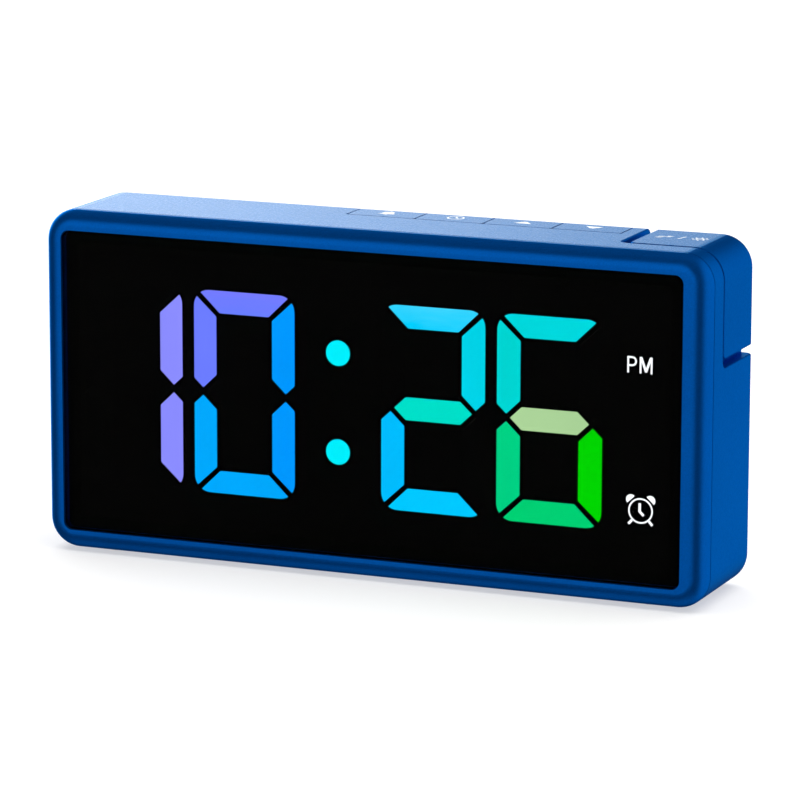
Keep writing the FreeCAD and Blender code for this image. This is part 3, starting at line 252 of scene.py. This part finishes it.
def lit(name, rgb, centre, power=1.0, rgb2=None, axis=None):
    """A light guide that glows in its own colour, faintly uneven at random, or ramping between two colours along a
    given axis.
    """
    k = Mat(name)
    c = lin(*rgb)
    c2 = lin(*(rgb2 or rgb))
    if axis is None:
        tone = k.mix(k.span(k.noise(160.0, 2.0), 0, 1), tuple(v * 0.985 for v in c[:3]) + (1,), tuple(v * 1.015 for v in c2[:3]) + (1,))
    else:
        sep = k.node("ShaderNodeSeparateXYZ")
        k.link(k.co, sep.inputs[0])
        streak = k.noise(420.0, 2.0, stretch=(0.35, 1.0, 2.2))
        lift = k.math("ADD", k.span(sep.outputs[axis[0]], 0.0, 1.0, axis[1], axis[2]), k.span(streak, -0.25, 0.25))
        tone = k.mix(lift, c, c2)
    k.p.inputs["Base Color"].default_value = (0.0, 0.0, 0.0, 1)
    k.p.inputs["Specular IOR Level"].default_value = 0.0
    k.to(k.span(k.noise(900.0), 0.5, 0.6), "Roughness")
    k.to(tone, "Emission Color")
    k.p.inputs["Emission Strength"].default_value = power / LENS_T
    return k.m


def unlit_guide():
    """A light guide with no light behind it, dark under its smoke-tinted skin."""
    k = Mat("segment_unlit")
    fine = k.noise(1800.0, 2.0)
    k.to(k.mix(k.span(fine, 0, 1), (0.0004, 0.0004, 0.0005, 1), (0.0008, 0.0009, 0.0010, 1)), "Base Color")
    k.to(k.span(fine, 0.55, 0.65), "Roughness")
    k.p.inputs["Specular IOR Level"].default_value = 0.02
    return k.m


def rubber(name="rubber_dark", tone=0.022):
    k = Mat(name)
    fine = k.noise(2400.0, 3.0)
    k.to(k.mix(k.span(fine, 0, 1), (tone, tone, tone * 1.05, 1), (tone * 1.6, tone * 1.6, tone * 1.7, 1)), "Base Color")
    k.to(k.span(fine, 0.72, 0.88), "Roughness")
    k.p.inputs["Specular IOR Level"].default_value = 0.35
    k.bump(fine, 0.3, 0.00004)
    return k.m


def plain_plastic(name, rgb, rough=(0.40, 0.52), var=0.08, scale=900.0, bump=0.12):
    k = Mat(name)
    c = lin(*rgb)
    n = k.noise(scale, 3.0)
    k.to(k.mix(k.span(n, 0, 1), tuple(v * (1 - var) for v in c[:3]) + (1,), tuple(min(1, v * (1 + var)) for v in c[:3]) + (1,)), "Base Color")
    k.to(k.span(k.noise(scale * 0.4, 2.0), rough[0], rough[1]), "Roughness")
    k.bump(n, bump, 0.00003)
    return k.m


def metal(name, rgb, rough=(0.22, 0.36), brushed=None):
    k = Mat(name, Metallic=1.0)
    c = lin(*rgb)
    n = k.noise(1500.0, 3.0, stretch=brushed)
    k.to(k.mix(k.span(n, 0, 1), tuple(v * 0.90 for v in c[:3]) + (1,), tuple(min(1, v * 1.08) for v in c[:3]) + (1,)), "Base Color")
    k.to(k.span(k.noise(600.0, 2.0, stretch=brushed), rough[0], rough[1]), "Roughness")
    k.bump(n, 0.10, 0.00002)
    return k.m


def circuit_board(name):
    """Green solder mask with a faint net of copper tracks under it."""
    k = Mat(name)
    track = k.node("ShaderNodeTexBrick")
    track.inputs["Scale"].default_value = 320.0
    track.inputs["Mortar Size"].default_value = 0.05
    track.offset = 0.5
    k.link(k.co, track.inputs["Vector"])
    mask = k.noise(240.0, 2.0)
    g1, g2 = lin(16, 88, 52), lin(28, 118, 70)
    base = k.mix(k.span(mask, 0, 1), g1, g2)
    k.to(k.mix(track.outputs["Fac"], base, lin(46, 142, 84)), "Base Color")
    k.to(k.span(mask, 0.28, 0.40), "Roughness")
    k.bump(track.outputs["Fac"], 0.2, 0.00004)
    return k.m


def paper_cone():
    k = Mat("cone_paper")
    n = k.noise(2200.0, 4.0, 0.7)
    k.to(k.mix(k.span(n, 0, 1), lin(26, 26, 28), lin(52, 51, 52)), "Base Color")
    k.to(k.span(n, 0.75, 0.92), "Roughness")
    k.bump(n, 0.5, 0.00006)
    return k.m


def printed_white(name="print_white"):
    """Pad-printed ink: off-white and a little uneven."""
    k = Mat(name)
    n = k.noise(2800.0, 3.0)
    k.to(k.mix(k.span(n, 0, 1), lin(226, 234, 240), lin(250, 252, 254)), "Base Color")
    k.to(k.span(n, 0.45, 0.60), "Roughness")
    k.bump(n, 0.15, 0.00001)
    return k.m


CASING = satin_blue("casing_blue")
KEYCAP = satin_blue("key_blue", grain=0.8, dark=0.97)
# lit copies of the casing and key materials for upward faces, with a painted highlight
CASING_TOP_PAINTED_LIGHT = satin_blue("casing_blue_top_painted_light", lit_top_copy=True)
KEYCAP_TOP_PAINTED_LIGHT = satin_blue("key_blue_top_painted_light", grain=0.8, dark=0.97, lit_top_copy=True)
WINDOW = smoked_window()
FILM = black_film()
UNLIT = unlit_guide()
WHITE_PRINT = printed_white()
STEEL = metal("steel_plated", (196, 199, 202))
BRUSHED = metal("steel_brushed", (202, 204, 206), brushed=(1.0, 1.0, 14.0))
BLACK_STEEL = metal("steel_black", (52, 52, 55), rough=(0.34, 0.48))
GOLD = metal("pin_gold", (226, 184, 96))
BRASS = metal("contact_brass", (214, 190, 128), brushed=(9.0, 1.0, 1.0))
BOARD = circuit_board("board_green")
CHIP = plain_plastic("chip_black", (38, 38, 40), (0.42, 0.55))
ACETAL = plain_plastic("plunger_dark", (34, 34, 36), (0.30, 0.40))
WHITE = plain_plastic("reflector_white", (236, 236, 234), (0.40, 0.5), var=0.03)
LED = plain_plastic("led_white", (238, 236, 214), (0.2, 0.3), var=0.04)
SLEEVE = plain_plastic("capacitor_sleeve", (36, 44, 72), (0.18, 0.28))
RED_WIRE = plain_plastic("wire_red", (150, 26, 22), (0.3, 0.4), var=0.1)
DARK_WIRE = plain_plastic("wire_dark", (34, 34, 36), (0.3, 0.4), var=0.1)
TONGUE = plain_plastic("tongue_black", (30, 30, 31), (0.35, 0.45))
TAPE = plain_plastic("tape_black", (12, 12, 12), (0.6, 0.7))
TAPE.node_tree.nodes["Principled BSDF"].inputs["Specular IOR Level"].default_value = 0.0
RUBBER = rubber()
FOAM = rubber("foam_black", 0.03)


def assign(node, *mats):
    me = NODES[node].data
    me.materials.clear()
    for m in mats:
        me.materials.append(m)


def smooth(o, angle=32.0):
    """Smooth-shade every face."""
    me = o.data
    for p in me.polygons:
        p.use_smooth = True


PLAIN = {
    "front_bezel": CASING, "rear_housing": CASING, "battery_door": CASING,
    "snooze_button": KEYCAP, "alarm_key": KEYCAP, "set_key": KEYCAP, "up_key": KEYCAP, "down_key": KEYCAP,
    "display_lens": WINDOW, "lens_gasket": TAPE, "mask_film": FILM, "display_reflector": WHITE,
    "icon_diffusers": WHITE, "led_chips": LED, "main_board": BOARD, "key_board": BOARD, "snooze_board": BOARD,
    "power_board": BOARD, "display_screws": STEEL, "key_board_screws": STEEL, "power_board_screws": STEEL,
    "controller_chip": CHIP, "clock_crystal": STEEL, "capacitors": SLEEVE, "key_switches": CHIP,
    "snooze_switch": CHIP, "alarm_key_plunger": ACETAL, "set_key_plunger": ACETAL, "up_key_plunger": ACETAL,
    "down_key_plunger": ACETAL, "snooze_plunger": ACETAL, "board_header": CHIP, "header_pins": GOLD,
    "housing_screws": BLACK_STEEL, "rubber_feet": RUBBER, "coin_cell": BRUSHED,
    "cell_contact_negative": BRASS, "cell_contact_positive": BRASS, "speaker_basket": STEEL,
    "speaker_cone": paper_cone(), "speaker_magnet": BRUSHED, "speaker_gasket": FOAM,
    "power_inlet_shell": BRUSHED, "power_inlet_tongue": TONGUE, "power_wires": RED_WIRE,
    "speaker_wires": DARK_WIRE, "battery_wires": RED_WIRE, "snooze_wire": DARK_WIRE,
}
for n, m in PLAIN.items():
    assign(n, m)
# faces at the top get the lit copy, so the top is painted brighter than the sides
for n in ("front_bezel", "rear_housing", "snooze_button", "alarm_key", "set_key", "up_key", "down_key"):
    me = NODES[n].data
    first = me.materials[0]
    me.materials.append(CASING_TOP_PAINTED_LIGHT if first is CASING else KEYCAP_TOP_PAINTED_LIGHT)
    for p in me.polygons:
        if p.normal.z > 0.985 and p.center.z > CAD_BOX[1][2] - 0.0006:
            p.material_index = 1
# the inner edge of the window opening gets the black film material, so it shows dark through the window instead of
# casing blue
me = NODES["front_bezel"].data
me.materials.append(FILM)
wlo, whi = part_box("mask_film")
for p in me.polygons:
    c = p.center
    if wlo.x - 0.0006 < c.x < whi.x + 0.0006 and wlo.z - 0.0006 < c.z < whi.z + 0.0006 and -0.0108 < c.y < -0.0088:
        p.material_index = 2

# ------------------------------------------------------------------ lit figures
# Every figure node holds seven separate bars. Each lit bar has a colour of its own.
LIT = {
    "hour_tens_segments": {"b": (143, 142, 255), "c": (143, 142, 255)},
    "hour_units_segments": {
        "a": (110, 126, 255), "f": (110, 125, 255), "b": (0, 153, 255), "c": (0, 153, 255),
        "e": (0, 170, 254), "d": (0, 170, 254)},
    "minute_tens_segments": {
        "a": (30, 211, 253), "b": (0, 215, 232), "g": (0, 226, 199), "e": (0, 191, 254), "d": (0, 203, 255)},
    "minute_units_segments": {
        "a": (0, 220, 221), "f": (0, 216, 209), "g": (177, 214, 153), "e": (0, 210, 127), "c": (0, 215, 0), "d": (0, 210, 112)},
}
SPOT = {"a": (0, 1), "b": (1, 0.5), "c": (1, -0.5), "d": (0, -1), "e": (-1, -0.5), "f": (-1, 0.5), "g": (0, 0)}


def islands(me):
    """Face groups that share no vertex position."""
    key = {}
    root = list(range(len(me.polygons)))

    def find(i):
        while root[i] != i:
            root[i] = root[root[i]]
            i = root[i]
        return i

    for p in me.polygons:
        for v in p.vertices:
            c = me.vertices[v].co
            q = (round(c.x * 1e6), round(c.y * 1e6), round(c.z * 1e6))
            if q in key:
                a, b = find(key[q]), find(p.index)
                if a != b:
                    root[b] = a
            else:
                key[q] = p.index
    groups = {}
    for p in me.polygons:
        groups.setdefault(find(p.index), []).append(p.index)
    return list(groups.values())


for node, bars in LIT.items():
    me = NODES[node].data
    lo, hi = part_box(node)
    mid, half = (lo + hi) / 2, (hi - lo) / 2
    mats, index = [UNLIT], {}
    for s, rgb in bars.items():
        if node == "minute_tens_segments" and s == "a":
            m = lit("glow_%s_%s" % (node[:-9], s), (0, 208, 252), mid, rgb2=(66, 217, 254), axis=(2, mid.z + half.z * 0.78, mid.z + half.z * 1.05))
        elif node == "hour_units_segments" and s == "a":
            m = lit("glow_%s_%s" % (node[:-9], s), (106, 126, 255), mid, rgb2=(122, 124, 255), axis=(2, mid.z + half.z * 0.75, mid.z + half.z * 1.1))
        else:
            m = lit("glow_%s_%s" % (node[:-9], s), rgb, mid)
        index[s] = len(mats)
        mats.append(m)
    assign(node, *mats)
    for faces in islands(me):
        c = Vector()
        for f in faces:
            c += me.polygons[f].center
        c /= len(faces)
        u, w = (c.x - mid.x) / half.x, (c.z - mid.z) / half.z
        s = min(SPOT, key=lambda k: (SPOT[k][0] * 0.8 - u) ** 2 + (SPOT[k][1] * 0.9 - w) ** 2)
        for f in faces:
            me.polygons[f].material_index = index.get(s, 0)

assign("colon_dots", lit("glow_colon", (0, 243, 252), None))
assign("pm_indicator", lit("glow_pm", (254, 254, 254), None, power=1.18))
assign("alarm_indicator", lit("glow_alarm", (254, 254, 254), None, power=1.22))


# ------------------------------------------------------------------ printed signs
def sign(name, shapes, body, material, normal="z", height=0.02, sink=0.02):
    """Thin printed shape. shapes are outlines in mm as (x, y) on the top, in the row frame."""
    bm = bmesh.new()
    for outline, z in shapes:
        low = [bm.verts.new((x * MM, y * MM, (z - sink) * MM)) for x, y in outline]
        top = [bm.verts.new((x * MM, y * MM, (z + height) * MM)) for x, y in outline]
        n = len(outline)
        bm.faces.new(top)
        bm.faces.new(list(reversed(low)))
        for i in range(n):
            bm.faces.new((low[i], low[(i + 1) % n], top[(i + 1) % n], top[i]))
    bmesh.ops.recalc_face_normals(bm, faces=bm.faces)
    bmesh.ops.triangulate(bm, faces=[f for f in bm.faces if len(f.verts) > 4])
    me = bpy.data.meshes.new(name)
    bm.to_mesh(me)
    bm.free()
    o = bpy.data.objects.new(name, me)
    SCENE.collection.objects.link(o)
    me.materials.append(material)
    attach(o, body)
    return o


def stroke(points, width):
    """Outline of an open line drawn with a pen of that width, with square joints."""
    left, right = [], []
    n = len(points)
    for i in range(n):
        p = Vector(points[i])
        a = (p - Vector(points[i - 1])).normalized() if i else None
        b = (Vector(points[i + 1]) - p).normalized() if i < n - 1 else None
        d = (a + b).normalized() if a is not None and b is not None else (a if a is not None else b)
        nrm = Vector((-d.y, d.x))
        k = 1.0
        if a is not None and b is not None:
            k = 1.0 / max(0.35, nrm.dot(Vector((-a.y, a.x))))
        left.append(tuple(p + nrm * width / 2 * k))
        right.append(tuple(p - nrm * width / 2 * k))
    return left + right[::-1]


def ring(cx, cy, r, width, a0=0.0, a1=360.0, steps=40):
    """A closed ring as two half-ring outlines, or an arc as one."""
    if a1 - a0 >= 359.9:
        return ring(cx, cy, r, width, 0, 180, steps // 2) + ring(cx, cy, r, width, 180, 360, steps // 2)
    pts = []
    for rr, order in ((r + width / 2, range(steps + 1)), (r - width / 2, range(steps, -1, -1))):
        for i in order:
            t = math.radians(a0 + (a1 - a0) * i / steps)
            pts.append((cx + rr * math.cos(t), cy + rr * math.sin(t)))
    return [pts]


TOP = CAD_BOX[1][2] / MM


def on(outlines, z=TOP):
    return [(o, z) for o in outlines]


def key_mid(node):
    lo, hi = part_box(node)
    return (lo.x + hi.x) / 2 / MM, (lo.y + hi.y) / 2 / MM - 0.2


def bell(cx, cy):
    """Solid bell, with its clapper, seen from the front of the clock."""
    body = []
    for t in range(0, 181, 12):
        a = math.radians(t)
        body.append((cx + 1.15 * math.cos(a), cy + 0.35 + 1.15 * math.sin(a)))
    body += [(cx - 1.25, cy - 0.55), (cx - 1.85, cy - 1.05), (cx + 1.85, cy - 1.05), (cx + 1.25, cy - 0.55)]
    clap = [(cx + 0.45 * math.cos(math.radians(t)), cy - 1.32 + 0.40 * math.sin(math.radians(t))) for t in range(180, 361, 15)]
    knob = [(cx - 0.2, cy + 1.4), (cx + 0.2, cy + 1.4), (cx + 0.2, cy + 1.85), (cx - 0.2, cy + 1.85)]
    return [body, clap, knob]


def clock_face(cx, cy):
    out = ring(cx, cy, 1.55, 0.34)
    out.append(stroke([(cx, cy + 0.95), (cx, cy), (cx + 0.7, cy - 0.45)], 0.32))
    return out


def arrow(cx, cy, up):
    s = 1 if up else -1
    return [[(cx - 1.75, cy - s * 0.95), (cx + 1.75, cy - s * 0.95), (cx + 0.28, cy + s * 0.95), (cx - 0.28, cy + s * 0.95)][::s]]


def sleep_mark(cx, cy):
    """Two plain letters z, the usual sign for snooze."""
    out = []
    for k, (dx, dy, w) in enumerate(((-0.75, -0.35, 1.0), (0.75, 0.45, 0.75))):
        x0, y0 = cx + dx - w / 2 * 1.1, cy + dy - w * 0.6
        x1, y1 = cx + dx + w / 2 * 1.1, cy + dy + w * 0.6
        out.append(stroke([(x0, y1), (x1, y1), (x0, y0), (x1, y0)], 0.30))
    return out


def sun_mark(cx, cy):
    out = ring(cx, cy, 0.72, 0.30, steps=28)
    for i in range(8):
        a = math.radians(45 * i)
        out.append(stroke([(cx + 1.15 * math.cos(a), cy + 1.15 * math.sin(a)), (cx + 1.65 * math.cos(a), cy + 1.65 * math.sin(a))], 0.28))
    return out


kx, ky = key_mid("alarm_key")
sign("alarm_key_sign", on(bell(kx, ky)), "alarm_key", WHITE_PRINT)
kx, ky = key_mid("set_key")
sign("set_key_sign", on(clock_face(kx, ky)), "set_key", WHITE_PRINT)
kx, ky = key_mid("up_key")
sign("up_key_sign", on(arrow(kx, ky, True)), "up_key", WHITE_PRINT)
kx, ky = key_mid("down_key")
sign("down_key_sign", on(arrow(kx, ky, False)), "down_key", WHITE_PRINT)
sy = 4.5
sign("snooze_sign", on(sleep_mark(52.7, sy) + [stroke([(55.7, sy - 1.25), (56.5, sy + 1.25)], 0.28)] + sun_mark(59.6, sy)), "snooze", WHITE_PRINT)


# ------------------------------------------------------------------ camera
YAW, PITCH, ROLL = math.radians(22.573), math.radians(11.677), math.radians(0.138)
cam_data = bpy.data.cameras.new("camera")
cam_data.sensor_width = 36.0
cam_data.lens = 4650.0 / 800.0 * 36.0
cam_data.clip_start = 0.01
cam_data.clip_end = 60.0
cam = bpy.data.objects.new("camera", cam_data)
SCENE.collection.objects.link(cam)
cam.location = (0.33403, -0.80004, 0.2118)
cam.rotation_euler = (Matrix.Rotation(YAW, 3, "Z") @ Matrix.Rotation(math.pi / 2 - PITCH, 3, "X") @ Matrix.Rotation(ROLL, 3, "Z")).to_euler()
SCENE.camera = cam


# ------------------------------------------------------------------ studio
def floor():
    bm = bmesh.new()
    bmesh.ops.create_grid(bm, x_segments=24, y_segments=24, size=9.0)
    me = bpy.data.meshes.new("floor")
    bm.to_mesh(me)
    bm.free()
    o = bpy.data.objects.new("floor", me)
    SCENE.collection.objects.link(o)
    k = Mat("floor_paper")
    n = k.noise(6.0, 2.0)
    k.to(k.mix(k.span(n, 0, 1), (0.50, 0.50, 0.50, 1), (0.52, 0.52, 0.52, 1)), "Base Color")
    k.p.inputs["Emission Color"].default_value = (1.0, 1.0, 1.0, 1)
    k.p.inputs["Emission Strength"].default_value = 0.54
    k.p.inputs["Roughness"].default_value = 1.0
    k.p.inputs["Specular IOR Level"].default_value = 0.0
    me.materials.append(k.m)
    o.visible_glossy = False
    o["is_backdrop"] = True
    return o


floor()


def azel(az, el):
    """Unit vector for an azimuth from the clock's front (towards its right side) and an elevation."""
    a, e = math.radians(az), math.radians(el)
    return (math.sin(a) * math.cos(e), -math.cos(a) * math.cos(e), math.sin(e))


def world(lobes, base, seen):
    w = bpy.data.worlds.new("studio")
    SCENE.world = w
    w.use_nodes = True
    nt = w.node_tree
    nt.nodes.clear()
    co = nt.nodes.new("ShaderNodeTexCoord")
    nrm = nt.nodes.new("ShaderNodeVectorMath")
    nrm.operation = "NORMALIZE"
    nt.links.new(co.outputs["Generated"], nrm.inputs[0])
    total = None
    for d, inner, outer, power in lobes:
        dot = nt.nodes.new("ShaderNodeVectorMath")
        dot.operation = "DOT_PRODUCT"
        dot.inputs[1].default_value = d
        nt.links.new(nrm.outputs[0], dot.inputs[0])
        mr = nt.nodes.new("ShaderNodeMapRange")
        mr.interpolation_type = "SMOOTHSTEP"
        mr.inputs["From Min"].default_value = math.cos(math.radians(outer))
        mr.inputs["From Max"].default_value = math.cos(math.radians(inner))
        mr.inputs["To Min"].default_value = 0.0
        mr.inputs["To Max"].default_value = power
        nt.links.new(dot.outputs["Value"], mr.inputs["Value"])
        if total is None:
            total = mr.outputs["Result"]
        else:
            add = nt.nodes.new("ShaderNodeMath")
            nt.links.new(total, add.inputs[0])
            nt.links.new(mr.outputs["Result"], add.inputs[1])
            total = add.outputs[0]
    add = nt.nodes.new("ShaderNodeMath")
    add.inputs[1].default_value = base
    nt.links.new(total, add.inputs[0])
    light = nt.nodes.new("ShaderNodeBackground")
    nt.links.new(add.outputs[0], light.inputs["Strength"])
    light.inputs["Color"].default_value = (1, 1, 1, 1)
    back = nt.nodes.new("ShaderNodeBackground")
    back.inputs["Color"].default_value = (seen, seen, seen, 1)
    path = nt.nodes.new("ShaderNodeLightPath")
    mix = nt.nodes.new("ShaderNodeMixShader")
    nt.links.new(path.outputs["Is Camera Ray"], mix.inputs[0])
    nt.links.new(light.outputs[0], mix.inputs[1])
    nt.links.new(back.outputs[0], mix.inputs[2])
    out = nt.nodes.new("ShaderNodeOutputWorld")
    nt.links.new(mix.outputs[0], out.inputs[0])


world([
    (azel(-20, 8), 14, 35, 0.82),
    (azel(115, -6), 34, 74, 0.68), (azel(-20, -80), 10, 42, 0.30),
    (azel(224, 6), 0, 31, 2.7),
    (azel(-130, 0), 12, 45, 0.45),
], 0.05, 0.96)


def softbox(name, at, aim, size, power, glossy=True):
    ld = bpy.data.lights.new(name, "AREA")
    ld.shape = "RECTANGLE"
    ld.size, ld.size_y = size
    ld.energy = power
    o = bpy.data.objects.new(name, ld)
    SCENE.collection.objects.link(o)
    o.location = at
    o.rotation_euler = (Vector(aim) - Vector(at)).to_track_quat("-Z", "Y").to_euler()
    o.visible_glossy = glossy
    return o


softbox("top_box", (0.0, 0.25, 1.5), (0, 0, 0.0), (2.6, 2.2), 50.0, glossy=False)

lo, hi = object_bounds()
